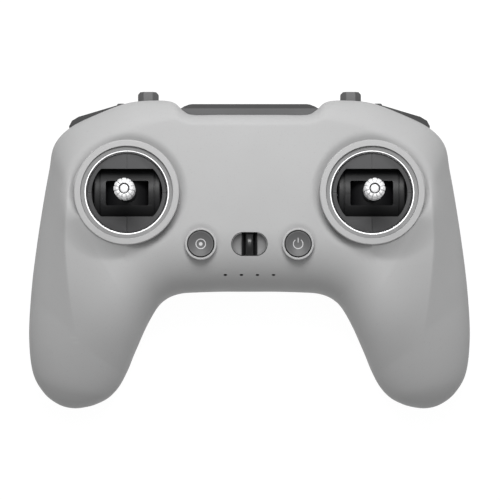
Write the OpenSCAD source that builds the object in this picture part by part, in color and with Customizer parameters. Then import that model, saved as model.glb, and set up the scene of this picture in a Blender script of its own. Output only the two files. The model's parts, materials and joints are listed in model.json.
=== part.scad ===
// Hand-held radio controller, lying on its back with the sticks up.
// +X to the right, +Y to the top edge, +Z out of the face. Origin on the rest plane, in the middle.

/* [Case] */
// Thickness of the moulded walls
wall = 2.2; // [1.8:0.1:2.6]
// Height of the flat face above the rest plane
face_z = 40; // [39.5:0.1:40.5]
// Sections drawn between two neighbouring ribs of the case
rib_steps = 2; // [1:1:3]
// Steps around each rolled edge of a section
roll_steps = 6; // [4:1:8]

/* [Sticks] */
// Distance of each gimbal from the middle
gimbal_x = 44.8; // [44.4:0.1:45.2]
// Gimbal centre up the face
gimbal_y = 19.9; // [19.5:0.1:20.3]
// Height of the stick pivots
pivot_z = 27; // [26.8:0.1:27.2]
// Outer radius of the raised bezel
bezel_r = 19.05; // [18.6:0.05:19.4]
// Top of the bezel
bezel_z = 44; // [43:0.1:44.5]
// Radius of the drum that tips the stick up and down
drum_r = 12.6; // [12.2:0.1:12.7]
// Top of the stick above its pivot
stick_len = 35; // [32:0.5:38]
// Radius of the stick shaft
shaft_r = 1.5; // [1.3:0.1:1.6]
// Radius of the knurled crown
crown_r = 3.8; // [3.4:0.1:4.2]

/* [Face controls] */
// Distance of the two round buttons from the middle
button_x = 17.8; // [16:0.1:18.5]
// Place of the buttons and the lanyard recess up the face
button_y = 1.2; // [0.8:0.1:1.6]
// Radius of a button cap
button_r = 4.65; // [4.2:0.05:4.8]
// Travel of a button
button_travel = 0.6; // [0.4:0.1:0.8]
// Row of status lights up the face
led_y = -9.9; // [-10.2:0.1:-9.6]

/* [Top edge] */
// Distance of the levers from the middle
lever_x = 37.9; // [37.5:0.1:38.3]
// Width of a lever cap
lever_w = 7.7; // [7:0.1:8]
// Radius of the storage bores
storage_r = 2.6; // [2.3:0.1:2.8]
// Depth of the storage bores
storage_depth = 12; // [8:1:14]

/* [Hidden] */
$fn = 48;

light_grey = [0.66, 0.66, 0.66];
mid_grey = [0.45, 0.45, 0.46];
dark_grey = [0.22, 0.22, 0.23];
near_black = [0.06, 0.06, 0.065];
silver = [0.82, 0.82, 0.84];
board_green = [0.05, 0.22, 0.12];

// ---- Case: a loft over ribs that run from the outer edge to the inner edge ----
// Ribs of the right half, from the middle round to the tip of the grip:
// [outer x, outer y, inner x, inner y, front z, back z, outer seam z, inner seam z, outer roll, inner roll,
// share of the outer roll that is a straight slant]
seam_top = 26.2;
ribs = [
    [0, 49.8, 0, -15.6, face_z, 0.8, seam_top, 20, 5, 22, 0],
    [11, 49.8, 10, -15.6, face_z, 0.8, seam_top, 20, 5, 22, 0],
    [21, 49.8, 17.5, -15.8, face_z, 0.8, seam_top, 20, 5, 22, 0],
    [24.6, 51.4, 20, -15.9, face_z, 0.8, seam_top, 20, 6, 22, 0],
    [28.2, 54.5, 22.5, -16, face_z, 0.8, seam_top, 20, 8, 22, 0],
    [34, 55.3, 25.5, -16.3, face_z, 0.8, seam_top, 20, 10, 22, 0],
    [45, 54.4, 29, -17.3, face_z, 0.8, seam_top, 19.5, 12, 22, 0],
    [56.4, 51.1, 31.8, -18.9, face_z, 0.8, seam_top, 19, 13, 22, 0.25],
    [66.7, 45.9, 34.1, -21.1, face_z, 0.8, seam_top, 18.5, 14, 22, 0.5],
    [72.7, 38.8, 36.6, -25, face_z, 0.9, 24.5, 18, 15, 22, 0.7],
    [74.7, 29.5, 39.1, -29.8, face_z, 0.8, 23, 17.5, 15.5, 22, 0.8],
    [77, 17, 41.4, -35, face_z - 1, 0.6, 21.5, 17, 17, 22, 0.75],
    [79.5, 1, 43.5, -39.8, face_z - 3.2, 0.3, 20, 16, 20, 22, 0.5],
    [81.5, -15, 45.6, -44.9, face_z - 6.8, 0, 18, 15, 22.5, 22, 0.2],
    [82.5, -32, 48.7, -50.7, face_z - 11.6, 0, 16, 14, 24, 22, 0],
    [81.2, -45.5, 52.5, -54.9, face_z - 16, 1, 14.5, 13.5, 24, 22, 0],
    [77.1, -53.3, 56.8, -57.3, face_z - 20.2, 3.5, 13.5, 13, 24, 22, 0],
    [71.7, -57.6, 61, -58.6, face_z - 24, 7.5, 12.8, 12.6, 24, 22, 0],
    [66.3, -59.1, 66.3, -59.1, 12.5, 12.5, 12.5, 12.5, 24, 22, 0],
];
last_rib = len(ribs) - 1;

// A smooth curve through four neighbouring ribs, between the middle two
function between(a, b, c, d, t) =
    b + t * ((c - a) / 2 + t * ((a - b * 2.5 + c * 2 - d / 2) + t * ((b - c) * 1.5 + (d - a) / 2)));
// The mirror image of a rib, so that the curve runs level through the middle
function mirrored(r) = [-r[0], r[1], -r[2], r[3], r[4], r[5], r[6], r[7], r[8], r[9], r[10]];
// The rib past the tip: the outline runs on round the tip, and both skins run on through the seam
function past_tip(r, seam) = [r[2], r[3], r[0], r[1], 2 * seam - r[4], 2 * seam - r[5], r[7], r[6], r[9], r[8], 0];
function rib(i) = i < 0 ? mirrored(ribs[-i])
    : i > last_rib ? past_tip(ribs[last_rib - 1], ribs[last_rib][6]) : ribs[i];
function rib_at(u) = u < 0 ? mirrored(rib_at(-u)) : let (i = min(floor(u), last_rib - 1))
    between(rib(i - 1), rib(i), rib(i + 1), rib(i + 2), u - i);

outer = function(u) let (r = rib_at(u)) [r[0], r[1]];
inner = function(u) let (r = rib_at(u)) [r[2], r[3]];
function unit(v) = v / norm(v);
function turned(v) = [v[1], -v[0]];
// Edge point moved into the case by d, square to the edge
function inset_edge(edge, u, side, d) =
    let (near = 0.02, run = edge(min(u + near, last_rib)) - edge(max(u - near, -last_rib)))
    edge(u) + turned(unit(run)) * side * d;

// Rise of a rolled edge at t degrees: a quarter round, or partly a slant that eases into the face
ramp_ease = 0.2;
function rise(t, slant) = let (run = 1 - cos(t))
    (1 - slant) * sin(t) + slant * (run + ramp_ease * run * (1 - run * run));

// One section of a case skin: front is 1 for the face side and -1 for the back
function section(u, front, skin) =
    let (r = rib_at(u),
        a = inset_edge(outer, u, 1, skin), b = inset_edge(inner, u, -1, skin),
        length = norm(b - a), along = unit(b - a),
        top = front > 0 ? min(face_z, r[4]) - skin : max(0, r[5]) + skin,
        roll_a = min(front > 0 ? r[8] : r[8] * 0.8, norm([r[0] - r[2], r[1] - r[3]]) / 2) - skin,
        roll_b = min(front > 0 ? r[9] : r[9] * 0.5, norm([r[0] - r[2], r[1] - r[3]]) / 2) - skin)
    concat(
        [for (k = [0:roll_steps]) let (t = 90 * k / roll_steps, s = roll_a * (1 - cos(t)))
            [each a + along * s, r[6] + (top - r[6]) * rise(t, front > 0 ? r[10] : 0)]],
        [for (k = [roll_steps:-1:0]) let (t = 90 * k / roll_steps, s = length - roll_b * (1 - cos(t)))
            [each a + along * s, r[7] + (top - r[7]) * sin(t)]]);

half = (last_rib - 1) * rib_steps;
section_size = 2 * roll_steps + 2;
sections = 2 * half + 1;

function grid(front, skin) = [for (i = [-half:half]) each section(i / rib_steps, front, skin)];
function tip(side, skin) = [side * ribs[last_rib][0], ribs[last_rib][1] + skin, ribs[last_rib][6]];

// Hollow half of the case, closed along the seam
module case_half(front) {
    n = section_size;
    count = sections * n;
    points = concat(grid(front, 0), [tip(-1, 0), tip(1, 0)], grid(front, wall), [tip(-1, wall), tip(1, wall)]);
    skin_start = [0, count + 2];
    faces = concat(
        [for (layer = [0:1]) let (o = skin_start[layer]) each concat(
            [for (i = [0:sections - 2], j = [0:n - 2]) let (p = o + i * n + j)
                each (layer == 0 ? [[p, p + n, p + n + 1], [p, p + n + 1, p + 1]]
                    : [[p, p + n + 1, p + n], [p, p + 1, p + n + 1]])],
            [for (j = [0:n - 2]) layer == 0 ? [o + count, o + j, o + j + 1] : [o + count, o + j + 1, o + j]],
            [for (j = [0:n - 2]) let (e = o + (sections - 1) * n + j)
                layer == 0 ? [o + count + 1, e + 1, e] : [o + count + 1, e, e + 1]])],
        seam_strip([for (i = [-1:sections]) i < 0 ? count : i == sections ? count + 1 : i * n]),
        seam_strip([for (i = [sections:-1:-1]) i < 0 ? count : i == sections ? count + 1 : i * n + n - 1]));
    polyhedron(points, front > 0 ? faces : [for (f = faces) [f[2], f[1], f[0]]]);
}
// Quads, as triangles, from the outer skin to the inner skin along one run of the seam
function seam_strip(run) = let (o = sections * section_size + 2) [
    for (i = [0:len(run) - 2]) each [[run[i], run[i] + o, run[i + 1] + o], [run[i], run[i + 1] + o, run[i + 1]]]];

// ---- Driving places of the pieces inside ----
bezel_hole_r = 17.5;
collar_r = 5.85;
button_hole_r = 5;
switch_top = 30.9;
// Foot of a button stem at rest, clear of its switch when pressed
button_foot = switch_top + button_travel + 0.1;
led_r = 0.6;
led_gap = 5.91;
lights = [-1.5, -0.5, 0.5, 1.5];
bowl_r = 4.2;
bowl_half = 2.35;
slot_half = 2.75;
board_z = 25.6;
board_t = 1.6;
board_top = board_z + board_t;
screw_r = 1.1;
small_screw_r = 0.8;
// Case screws of the right half: [x, y, top of the boss in the front shell, floor of the back shell]
case_screw_places = [[38.5, -11, 34.4, 4], [66, -36, 28.3, 1.4], [67, 12, 36.9, 2]];
case_screw_len = 11.5;
seam_low = 15.6;
// Board screws of the right half: [x, y, top of the boss]
board_screw_places = [[23.3, -5.5, 35.2], [22, 38, 38.5]];
ear_x = 13.5;
ear_y = 15.8;
frame_half_x = 15.6;
frame_half_y = 13.9;
frame_floor = 16.6;
frame_top = 36.4;
trunnion_r = 1.5;
pin_gap = 0.05;
panel_top = 25.7;
panel_y = 54.2;
panel_step = 0.6;
panel_step_x = 24;
panel_step_y = 52.5;
panel_wall = 2.2;
ledge_z = 23.5;
lever_y = 45.5;
lever_z = 20;
lever_pin_r = 1;
press_x = 48;
press_z = 18.5;
press_r = 1.6;
press_half = 1.8;
dial_x = 57;
dial_y = 43;
dial_z = 8.2;
dial_r = 7.5;
shutter_x = 57;
shutter_y = 49;
shutter_z = 5.5;
// Lean of the rear chamfer of the top panel, from the upright
chamfer_lean = atan2(6.6, 10);
storage_x = 13;
storage_z = 20;
usb_z = 20;
cell_r = 9.2;
cell_len = 65;
cell_y = -2.75;
cell_z = 13.5;

// Mirrors a right-hand piece when side is -1
module handed(side) { if (side < 0) mirror([1, 0, 0]) children(); else children(); }
module at_gimbal(side) { translate([side * gimbal_x, gimbal_y, 0]) handed(side) children(); }
module block(x, y, z) { translate([x[0], y[0], z[0]]) cube([x[1] - x[0], y[1] - y[0], z[1] - z[0]]); }
module rod(r, z0, z1) { translate([0, 0, z0]) cylinder(r = r, h = z1 - z0); }
module rod_x(r, x0, x1) { rotate([0, 90, 0]) rod(r, x0, x1); }
module rod_y(r, y0, y1) { rotate([-90, 0, 0]) rod(r, y0, y1); }
module ring(profile) { rotate_extrude() polygon(profile); }
// Upright stadium of radius r, pushed along Y
module pill_y(r, y0, y1) {
    for (end = [-1, 1]) translate([0, 0, end * press_half]) rod_y(r, y0, y1);
    block([-r, r], [y0, y1], [-press_half, press_half]);
}

// Shallow ring sunk into the face: deepest beside its inner edge at radius r
module moat(r, width, depth) {
    ring([[r, face_z + 2], [r, face_z - depth], [r + width * 0.35, face_z - depth * 0.65],
        [r + width * 0.7, face_z - depth * 0.2], [r + width, face_z], [r + width, face_z + 2]]);
}

// ---- Case ----
module front_shell() {
    color(light_grey) difference() {
        union() {
            case_half(1);
            for (side = [-1, 1]) {
                for (p = case_screw_places) translate([side * p[0], p[1], 0]) rod(3, seam_low + 2.6, p[2]);
                for (p = board_screw_places) translate([side * p[0], p[1], 0]) rod(2, board_top, p[2]);
                for (i = [-1, 1], j = [-1, 1])
                    translate([side * gimbal_x + i * ear_x, gimbal_y + j * ear_y, 0]) rod(2.4, frame_top, 38.6);
                translate([side * button_x, button_y, 0]) rod(collar_r, 36.6, face_z + 0.45);
            }
            block([-8, 8], [button_y - 5.5, button_y + 5.5], [33.6, 37.3]);
            block([-8, 8], [button_y - 1.5, button_y + 5.5], [33.6, 38.2]);
        }
        for (side = [-1, 1]) {
            for (p = case_screw_places) translate([side * p[0], p[1], 0]) rod(screw_r, 10, seam_low + 8);
            for (p = board_screw_places) translate([side * p[0], p[1], 0]) rod(small_screw_r, 20, 33);
            for (i = [-1, 1], j = [-1, 1])
                translate([side * gimbal_x + i * ear_x, gimbal_y + j * ear_y, 0]) rod(small_screw_r, 30, 38.4);
            translate([side * gimbal_x, gimbal_y, 0]) rod(bezel_hole_r, 30, 50);
            translate([side * gimbal_x, gimbal_y, 0]) moat(bezel_r, 3.5, 1.1);
            translate([side * button_x, button_y, 0]) rod(button_hole_r, 30, 50);
            translate([side * button_x, button_y, 0]) moat(collar_r, 1.7, 0.55);
        }
        translate([0, button_y, face_z]) {
            rod_x(bowl_r, -bowl_half, bowl_half);
            for (side = [-1, 1]) translate([side * bowl_half, 0, 0]) sphere(r = bowl_r);
        }
        block([-slot_half, slot_half], [button_y - bowl_r, button_y + bowl_r], [30, 42]);
        for (k = lights) translate([k * led_gap, led_y, 0]) rod(led_r + 0.02, 20, 42);
    }
}

module back_shell() {
    color(light_grey) difference() {
        union() {
            case_half(-1);
            for (side = [-1, 1], p = case_screw_places)
                translate([side * p[0], p[1], 0]) rod(3.4, p[3], seam_low + 2.4);
        }
        for (side = [-1, 1], p = case_screw_places) translate([side * p[0], p[1], 0]) {
            rod(screw_r + 0.15, -1, 30);
            rod(2.3, -1, seam_low - 4);
        }
        // Room for the top panel
        linear_extrude(60) polygon([
            [-68.2, 70], [-68.2, 45.6], [-66.5, 40.8], [-58.2, 32.8],
            [58.2, 32.8], [66.5, 40.8], [68.2, 45.6], [68.2, 70]]);
    }
}

// Outline of the top panel seen from the front, with its corners moved in by d
function panel_half(d) = [
    [20.8 - d / 2, 54.3 - d], [22.6 - d / 2, 54 - d], [24.1 - d / 2, 53.4 - d], [25.4 - d / 2, 52.6 - d],
    [26.8, 52.2 - d], [30, 53.2 - d], [45.4, 53.2 - d], [46.9, 54 - d], [48.6, 53.9 - d],
    [63.6 - d / 3, 49.4 - d], [66.1 - d, 47.9 - d], [67.2 - d, 45.8 - d / 2]];
module panel_slab(d, low) {
    half_line = panel_half(d);
    count = len(half_line);
    linear_extrude(60) polygon(concat(
        half_line, low,
        [for (k = [len(low) - 1:-1:0]) [-low[k][0], low[k][1]]],
        [for (k = [count - 1:-1:0]) [-half_line[k][0], half_line[k][1]]]));
}
// Side view of the top panel, stretched along X
module panel_side(points) {
    rotate([90, 0, 90]) translate([0, 0, -80]) linear_extrude(160) polygon(points);
}
module on_chamfer(side) {
    translate([side * shutter_x, shutter_y, shutter_z]) rotate([-90 - chamfer_lean, 0, 0]) children();
}
module lever_lugs() {
    for (side = [-1, 1], arm = [-1, 1]) translate([side * lever_x + arm * 5.4, 0, 0])
        block([-0.9, 0.9], [lever_y - 2.2, lever_y + 2.2], [1.5, lever_z + 2.4]);
}
module top_panel() {
    color(dark_grey) difference() {
        union() {
            difference() {
                intersection() {
                    panel_slab(0, [[66.2, 40.9], [58, 33]]);
                    panel_side([[30, 0], [40, 0], [48, 4], [panel_y, 13.4], [panel_y, panel_top], [30, panel_top]]);
                }
                intersection() {
                    panel_slab(panel_wall, [[63.4, 41.6], [57, 20]]);
                    panel_side([[20, 2.2], [39.4, 2.2], [46.6, 5.8], [52, 14.6], [52, ledge_z],
                        [47, ledge_z], [47, 40], [20, 40]]);
                }
            }
            lever_lugs();
            for (arm = [-1, 1]) translate([-dial_x + arm * 4.6, 0, 0])
                block([-0.9, 0.9], [dial_y - 2.5, dial_y + 2.5], [1, dial_z + 2.5]);
            for (side = [-1, 1]) translate([side * storage_x, 0, storage_z])
                rod_y(storage_r + 1.2, panel_y - storage_depth - 1.2, 53);
            for (side = [-1, 1]) translate([side * 6, 42, 0]) rod(1.5, 1, usb_z - 3.4);
        }
        for (side = [-1, 1]) {
            translate([side * storage_x, 0, storage_z]) rod_y(storage_r, panel_y - storage_depth, 60);
            block([side * lever_x - 4.2, side * lever_x + 4.2], [49, 58], [14.5, 25.5]);
            translate([side * lever_x, lever_y, lever_z]) rod_x(lever_pin_r, -6.3, 6.3);
            translate([side * press_x, 0, press_z]) pill_y(press_r + 0.2, 49, 60);
        }
        block([-dial_x - 3.6, -dial_x + 3.6], [35, 52.2], [-1, 17]);
        translate([-dial_x, dial_y, dial_z]) rod_x(1, -5.5, 5.5);
        on_chamfer(1) rod(3.85, -4, 6);
        usb_mouth(5.4, 2.3, 50, 60);
        block([-panel_step_x, panel_step_x], [panel_step_y, 60], [panel_top - panel_step, 30]);
    }
}
// Stadium-shaped tunnel of the charging port
module usb_mouth(half_w, half_h, y0, y1) {
    translate([0, 0, usb_z]) {
        for (side = [-1, 1]) translate([side * (half_w - half_h), 0, 0]) rod_y(half_h, y0, y1);
        block([half_h - half_w, half_w - half_h], [y0, y1], [-half_h, half_h]);
    }
}

// ---- Gimbals ----
module gimbal_bezel(side) {
    color(light_grey) at_gimbal(side) ring([
        [15.4, 37.2], [17.45, 37.2], [17.45, face_z], [bezel_r, face_z], [bezel_r, bezel_z - 0.5],
        [bezel_r - 0.5, bezel_z], [17.15, bezel_z], [17, 42.6], [15.4, 41.5]]);
}
module gimbal_trim(side) {
    color(silver) at_gimbal(side) ring([
        [14.4, 38.6], [15.38, 38.6], [15.38, 41.1], [15.1, 41.3], [14.7, 41.3], [14.4, 41.1]]);
}
module gimbal_plate(side) {
    color(dark_grey) at_gimbal(side) difference() {
        rod(14.38, 39.9, 40.9);
        intersection() {
            rod(12.95, 39, 42);
            block([-20, 20], [-8.75, 8.75], [39, 42]);
        }
    }
}
module gimbal_frame(side) {
    color(near_black) at_gimbal(side) difference() {
        union() {
            block([-frame_half_x, frame_half_x], [-frame_half_y, frame_half_y], [frame_floor, frame_top]);
            for (i = [-1, 1], j = [-1, 1]) translate([i * ear_x, j * ear_y, 0]) rod(2.4, 34, frame_top);
        }
        block([-12.6, 12.6], [-13, 13], [frame_floor + 0.8, 40]);
        for (i = [-1, 1], j = [-1, 1]) translate([i * ear_x, j * ear_y, 0]) rod(small_screw_r, 30, 40);
        translate([0, 0, pivot_z]) rod_x(trunnion_r + pin_gap, -20, 20);
    }
}
module gimbal_sensor(side) {
    color(board_green) at_gimbal(side) difference() {
        block([frame_half_x, frame_half_x + 2], [-6, 6], [20, 34]);
        translate([0, 0, pivot_z]) rod_x(trunnion_r + 0.3, 10, 20);
    }
}
// Torsion spring round the inner trunnion, as a tube swept along a helix
spring_mean_r = 3;
spring_wire_r = 0.35;
spring_turns = 3.5;
spring_rings = 49;
spring_sides = 8;
module gimbal_spring(side) {
    pitch = 2.6 / spring_turns;
    points = [for (i = [0:spring_rings], j = [0:spring_sides - 1])
        let (a = 360 * spring_turns * i / spring_rings, b = 360 * j / spring_sides,
            r = spring_mean_r + spring_wire_r * cos(b))
        [-16.1 - pitch * a / 360 - spring_wire_r * sin(b), r * cos(a), pivot_z + r * sin(a)]];
    faces = concat(
        [for (i = [0:spring_rings - 1], j = [0:spring_sides - 1])
            let (p = i * spring_sides + j, q = i * spring_sides + (j + 1) % spring_sides)
            [p, p + spring_sides, q + spring_sides, q]],
        [[for (j = [0:spring_sides - 1]) j]],
        [[for (j = [spring_sides - 1:-1:0]) spring_rings * spring_sides + j]]);
    color(silver) at_gimbal(side) polyhedron(points, faces);
}
module drum(side) {
    color(near_black) at_gimbal(side) translate([0, 0, pivot_z]) difference() {
        union() {
            intersection() {
                rod_x(drum_r, -12.2, 12.2);
                block([-20, 20], [-20, 20], [-4.5, 20]);
            }
            rod_x(trunnion_r, -18.9, 15.4);
        }
        // Groove beside each cheek
        for (i = [-1, 1]) difference() {
            rod_x(drum_r + 1, i * 10 - 0.25, i * 10 + 0.25);
            rod_x(drum_r - 0.4, -20, 20);
        }
        rod_y(10.4, -6.8, 6.8);
        block([-10.4, 10.4], [-6.8, 6.8], [-20, 0]);
        block([-7.85, 7.85], [-4.55, 4.55], [0, 20]);
        rod_y(1.2 + pin_gap, -9.8, 9.8);
    }
}
module carriage(side) {
    color(near_black) at_gimbal(side) translate([0, 0, pivot_z]) difference() {
        union() {
            intersection() {
                rod_y(10, -6.4, 6.4);
                block([-20, 20], [-20, 20], [-3, 20]);
            }
            rod_y(1.2, -9.6, 9.6);
        }
        rod(shaft_r, 3, 20);
    }
}
module stick_shaft(side) {
    color(silver) at_gimbal(side) translate([0, 0, pivot_z]) rod(shaft_r, 3, stick_len - 0.6);
}
module stick_nut(side) {
    color(silver) at_gimbal(side) translate([0, 0, pivot_z]) difference() {
        rod(3.1, 21.6, 23.8);
        rod(shaft_r, 20, 40);
        for (k = [0:11]) rotate(k * 30) translate([3.2, 0, 0]) rod(0.35, 20, 40);
    }
}
module stick_crown(side) {
    color(silver) at_gimbal(side) translate([0, 0, pivot_z]) difference() {
        ring([[0, 24], [2.6, 24], [crown_r - 0.2, 25.4], [crown_r, 26], [crown_r, stick_len - 1.2],
            [crown_r - 0.9, stick_len - 0.1], [crown_r - 1.3, stick_len], [2.4, stick_len],
            [2.1, stick_len - 0.5], [0, stick_len - 0.5]]);
        rod(shaft_r, 20, 40);
        for (k = [0:11]) rotate(k * 30 + 15) translate([crown_r + 0.25, 0, 0]) rod(0.6, 20, 40);
    }
}

// ---- Face controls ----
module face_button(side) {
    color(mid_grey) translate([side * button_x, button_y, 0]) difference() {
        union() {
            rod(button_r, 34.8, face_z + 0.9);
            rod(5.3, 33.6, 34.8);
            rod(1.3, button_foot, 33.6);
        }
        // Dished top
        translate([0, 0, face_z + 0.9 + 17.4]) sphere(r = 18, $fn = 96);
    }
}
module custom_button() { face_button(-1); }
module power_button() { face_button(1); }
module button_switches() {
    color(silver) for (side = [-1, 1]) translate([side * button_x, button_y, 0]) {
        block([-2.6, 2.6], [-2.6, 2.6], [board_top, 30.2]);
        rod(1.2, 30.2, switch_top);
    }
}
module lanyard_bracket() {
    color(near_black) translate([0, button_y, 0]) {
        block([-6, 6], [-5, 5], [32.4, 33.55]);
        for (end = [-1, 1]) block([-2.7, 2.7], [end * 3.65 - 0.5, end * 3.65 + 0.5], [33, 38]);
        translate([0, 0, 38.6]) rod_y(1.35, -4.15, 4.15);
    }
}
module light_guide() {
    color("white") {
        block([-10, 10], [led_y - 0.7, led_y + 0.7], [board_top, 28.6]);
        for (k = lights) translate([k * led_gap, led_y, 0]) rod(led_r, 28.4, 32.3);
    }
}

// ---- Top edge controls ----
module lever(side) {
    color(dark_grey) translate([side * lever_x, lever_y, lever_z]) difference() {
        union() {
            rod_x(2.6, -3.7, 3.7);
            block([-2.8, 2.8], [0, 9], [-1.4, 1.4]);
            translate([0, 0, -2.5]) linear_extrude(5) polygon([
                [-lever_w / 2, 8.3], [lever_w / 2, 8.3], [lever_w / 2, 12.7], [lever_w / 2 - 0.9, 13.6],
                [0.9 - lever_w / 2, 13.6], [-lever_w / 2, 12.7]]);
        }
        rod_x(lever_pin_r + pin_gap, -10, 10);
    }
}
module mode_lever() { lever(-1); }
module function_lever() { lever(1); }
module lever_pin(side) { color(silver) translate([side * lever_x, lever_y, lever_z]) rod_x(lever_pin_r, -6.3, 6.3); }
module press_button(side) {
    color(mid_grey) translate([side * press_x, 0, press_z]) {
        pill_y(press_r, 51, 54.8);
        rod_y(1.2, 49.9, 51);
    }
}
module pause_button() { press_button(-1); }
module record_button() { press_button(1); }
module shutter_button() {
    color(mid_grey) on_chamfer(1) {
        rod(3.6, -3.4, 0.8);
        rod(1.4, -5, -3.4);
    }
}
module camera_dial() {
    color(mid_grey) translate([-dial_x, dial_y, dial_z]) difference() {
        rod_x(dial_r, -3.2, 3.2);
        rod_x(1 + pin_gap, -10, 10);
        for (k = [0:23]) rotate([k * 15, 0, 0]) translate([0, 0, dial_r + 0.15]) rod_x(0.5, -10, 10);
    }
}
module dial_axle() { color(silver) translate([-dial_x, dial_y, dial_z]) rod_x(1, -5.5, 5.5); }
module shoulder_board(side) {
    color(board_green) translate([side * press_x, 0, 0]) {
        block([-3, 3.4], [45.8, 47], [6.45, 24]);
        translate([0, 0, press_z]) block([-2.2, 2.2], [47, 49.3], [-2.2, 2.2]);
    }
}

// ---- Electronics and fixings ----
module main_board() {
    color(board_green) difference() {
        block([-25.4, 25.4], [-10.5, 44], [board_z, board_top]);
        for (side = [-1, 1], p = board_screw_places) translate([side * p[0], p[1], 0]) rod(small_screw_r, 20, 30);
    }
}
module buzzer() { color(near_black) translate([0, 22, 0]) rod(6, board_z - 5, board_z); }
module usb_port() {
    color(silver) difference() {
        usb_mouth(4.5, 1.6, 47.2, 54);
        usb_mouth(4.15, 1.25, 48.2, 60);
    }
    color(near_black) block([-3.3, 3.3], [48, 53.2], [usb_z - 0.35, usb_z + 0.35]);
}
module usb_board() { color(board_green) block([-8.4, 8.4], [39, 52], [usb_z - 3.4, usb_z - 1.6]); }
module battery_cell() {
    color(mid_grey) translate([0, cell_y, cell_z]) {
        rod_x(cell_r, -cell_len / 2, cell_len / 2 - 1);
        rod_x(3, 0, cell_len / 2);
    }
}
module battery_cradle() {
    color(near_black) difference() {
        for (side = [-1, 1]) translate([side * 18, 0, 0]) block([-3, 3], [-5.4, 6.4], [3.22, 13]);
        translate([0, cell_y, cell_z]) rod_x(cell_r, -40, 40);
    }
}
module antenna(side) { color([0.6, 0.45, 0.2]) translate([side * 13, 0, 0]) block([-8, 8], [33.4, 38.8], [2.2, 3.2]); }
module case_screws() {
    color(silver) for (side = [-1, 1], p = case_screw_places) translate([side * p[0], p[1], 0]) {
        rod(2, seam_low - 5.6, seam_low - 4);
        rod(screw_r, seam_low - 4, seam_low - 4 + case_screw_len);
    }
}
module gimbal_screws() {
    color(silver) for (side = [-1, 1], i = [-1, 1], j = [-1, 1])
        translate([side * gimbal_x + i * ear_x, gimbal_y + j * ear_y, 0]) {
            rod(1.7, 32.8, 34);
            rod(small_screw_r, 34, 38.4);
        }
}
module board_screws() {
    color(silver) for (side = [-1, 1], p = board_screw_places) translate([side * p[0], p[1], 0]) {
        rod(1.6, board_z - 1.1, board_z);
        rod(small_screw_r, board_z, 33);
    }
}

front_shell();
back_shell();
top_panel();
gimbal_bezel(-1);  // gimbal_bezel_left
gimbal_bezel(1);  // gimbal_bezel_right
gimbal_trim(-1);  // gimbal_trim_left
gimbal_trim(1);  // gimbal_trim_right
gimbal_plate(-1);  // gimbal_plate_left
gimbal_plate(1);  // gimbal_plate_right
gimbal_frame(-1);  // gimbal_frame_left
gimbal_frame(1);  // gimbal_frame_right
gimbal_sensor(-1);  // gimbal_sensor_left
gimbal_sensor(1);  // gimbal_sensor_right
gimbal_spring(-1);  // gimbal_spring_left
gimbal_spring(1);  // gimbal_spring_right
drum(-1);  // drum_left
drum(1);  // drum_right
carriage(-1);  // carriage_left
carriage(1);  // carriage_right
stick_shaft(-1);  // stick_shaft_left
stick_shaft(1);  // stick_shaft_right
stick_nut(-1);  // stick_nut_left
stick_nut(1);  // stick_nut_right
stick_crown(-1);  // stick_crown_left
stick_crown(1);  // stick_crown_right
custom_button();
power_button();
button_switches();
lanyard_bracket();
light_guide();
mode_lever();
function_lever();
lever_pin(-1);  // lever_pin_left
lever_pin(1);  // lever_pin_right
pause_button();
record_button();
shutter_button();
camera_dial();
dial_axle();
shoulder_board(-1);  // shoulder_board_left
shoulder_board(1);  // shoulder_board_right
main_board();
buzzer();
usb_port();
usb_board();
battery_cell();
battery_cradle();
antenna(-1);  // antenna_left
antenna(1);  // antenna_right
case_screws();
gimbal_screws();
board_screws();
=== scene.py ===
import math

import bmesh
import bpy
import numpy as np
from mathutils import Matrix, Vector
from mathutils.bvhtree import BVHTree
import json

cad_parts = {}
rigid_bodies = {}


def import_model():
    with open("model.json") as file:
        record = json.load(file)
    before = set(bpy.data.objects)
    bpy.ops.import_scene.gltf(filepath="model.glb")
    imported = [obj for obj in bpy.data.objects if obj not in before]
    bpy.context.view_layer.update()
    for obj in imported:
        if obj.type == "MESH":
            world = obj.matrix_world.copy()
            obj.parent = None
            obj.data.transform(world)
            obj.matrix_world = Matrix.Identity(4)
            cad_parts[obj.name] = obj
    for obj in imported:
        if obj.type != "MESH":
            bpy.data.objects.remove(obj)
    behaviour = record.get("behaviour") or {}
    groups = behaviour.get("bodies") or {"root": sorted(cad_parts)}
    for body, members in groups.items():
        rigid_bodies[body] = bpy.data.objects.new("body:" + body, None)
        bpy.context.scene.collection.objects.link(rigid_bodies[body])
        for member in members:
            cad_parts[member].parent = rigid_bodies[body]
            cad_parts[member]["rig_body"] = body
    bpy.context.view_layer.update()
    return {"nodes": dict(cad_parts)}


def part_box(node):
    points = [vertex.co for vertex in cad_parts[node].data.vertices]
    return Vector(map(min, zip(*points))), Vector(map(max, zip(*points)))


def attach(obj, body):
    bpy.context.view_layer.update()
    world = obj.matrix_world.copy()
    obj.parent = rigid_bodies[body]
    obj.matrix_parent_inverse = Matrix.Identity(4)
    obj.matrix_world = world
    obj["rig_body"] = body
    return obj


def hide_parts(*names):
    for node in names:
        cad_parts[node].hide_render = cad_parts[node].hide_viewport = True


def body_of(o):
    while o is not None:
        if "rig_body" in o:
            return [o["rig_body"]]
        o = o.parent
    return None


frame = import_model()

MM = 0.001
NODES = frame["nodes"]

# ---------------------------------------------------------------- places read from the frame, in mm


def low(node):
    return np.array(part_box(node)[0]) / MM


def high(node):
    return np.array(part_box(node)[1]) / MM


def middle(node):
    return (low(node) + high(node)) / 2


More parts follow.
